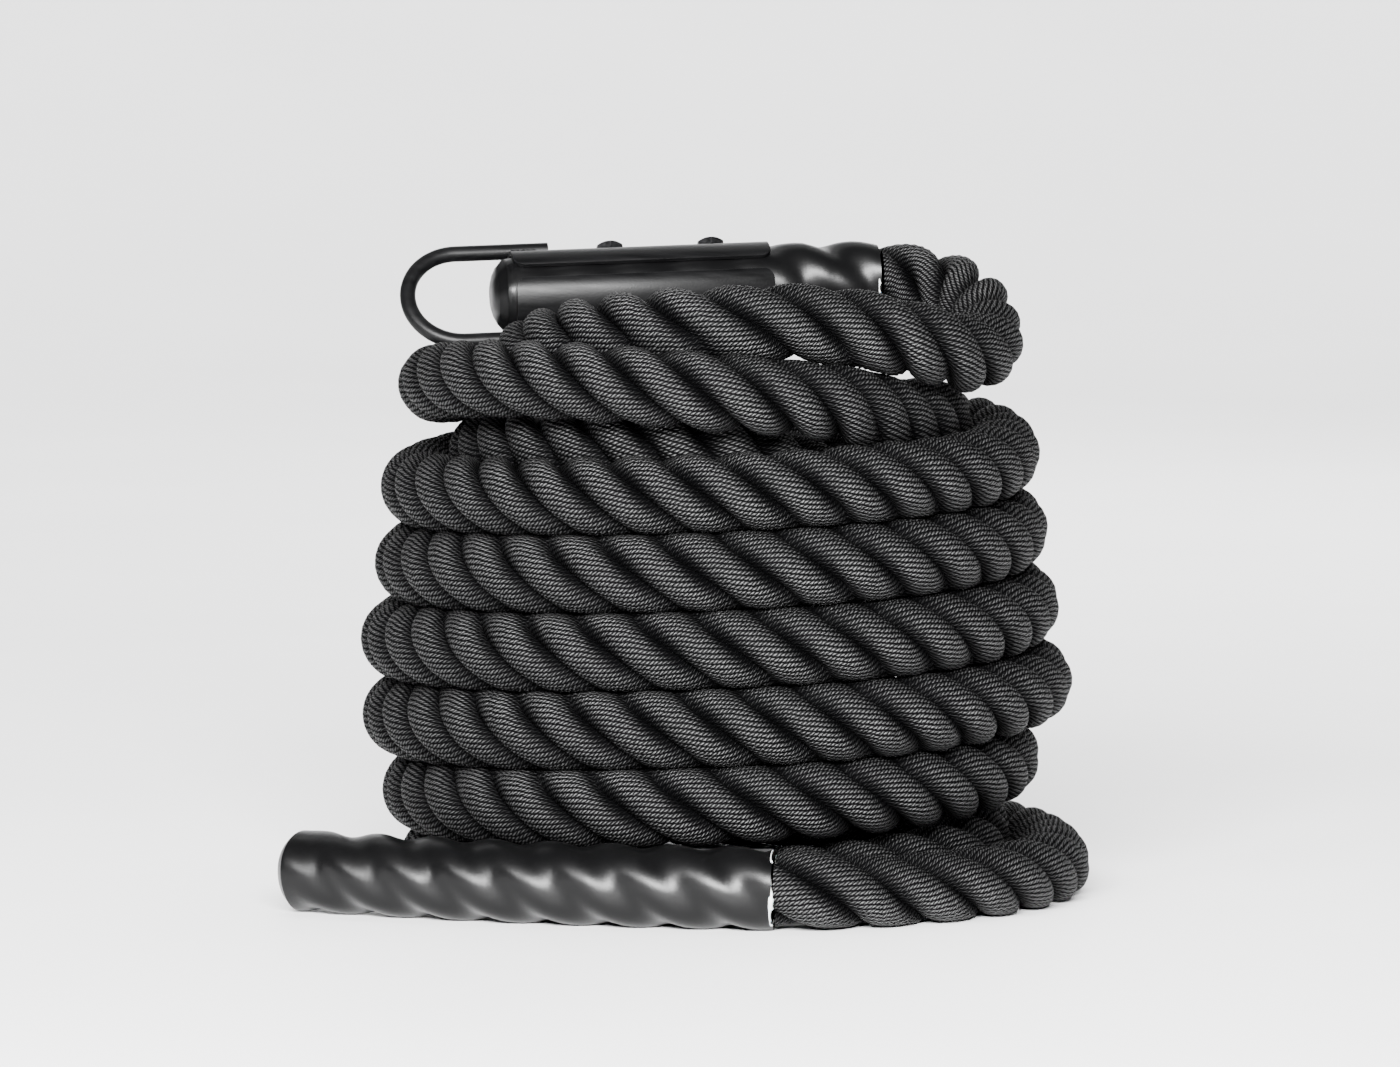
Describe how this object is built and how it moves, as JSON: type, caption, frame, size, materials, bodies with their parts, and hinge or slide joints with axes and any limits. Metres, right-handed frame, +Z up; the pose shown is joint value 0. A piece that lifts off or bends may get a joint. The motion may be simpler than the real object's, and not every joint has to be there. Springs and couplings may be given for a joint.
{
  "type": "sled pulling rope",
  "caption": "Thick black three-strand rope lying in a round coil, with a sleeved pull handle at one end and a bolted clamp with a round-bar bail at the other.",
  "frame": {"origin": "on the floor, in the middle of the part's footprint", "axes": "+Z up along the coil's axis, +X to the right and +Y away from a viewer who faces the handle"},
  "size_m": [0.4088, 0.407, 0.329],
  "materials": {
    "rope_black": "matte twisted polyester yarn",
    "sleeve_black": "glossy shrunk sleeve",
    "steel_black": "satin black paint",
    "steel_dark": "blackened steel",
    "glue_white": "dull hot-melt glue"
  },
  "bodies": {
    "root": {"rope_coil": "rope_black", "rope_tail": "rope_black", "rope_lead": "rope_black", "rope_end_handle": "rope_black", "rope_end_hook": "rope_black", "handle_sleeve": "sleeve_black", "hook_sleeve": "sleeve_black", "glue_bead_handle": "glue_white", "glue_bead_hook": "glue_white", "clamp_plate_upper": "steel_black", "clamp_plate_lower": "steel_black", "bail": "steel_black", "bolt_eye_side": "steel_dark", "bolt_rope_side": "steel_dark", "nut_eye_side": "steel_dark", "nut_rope_side": "steel_dark"}
  },
  "joints": []
}
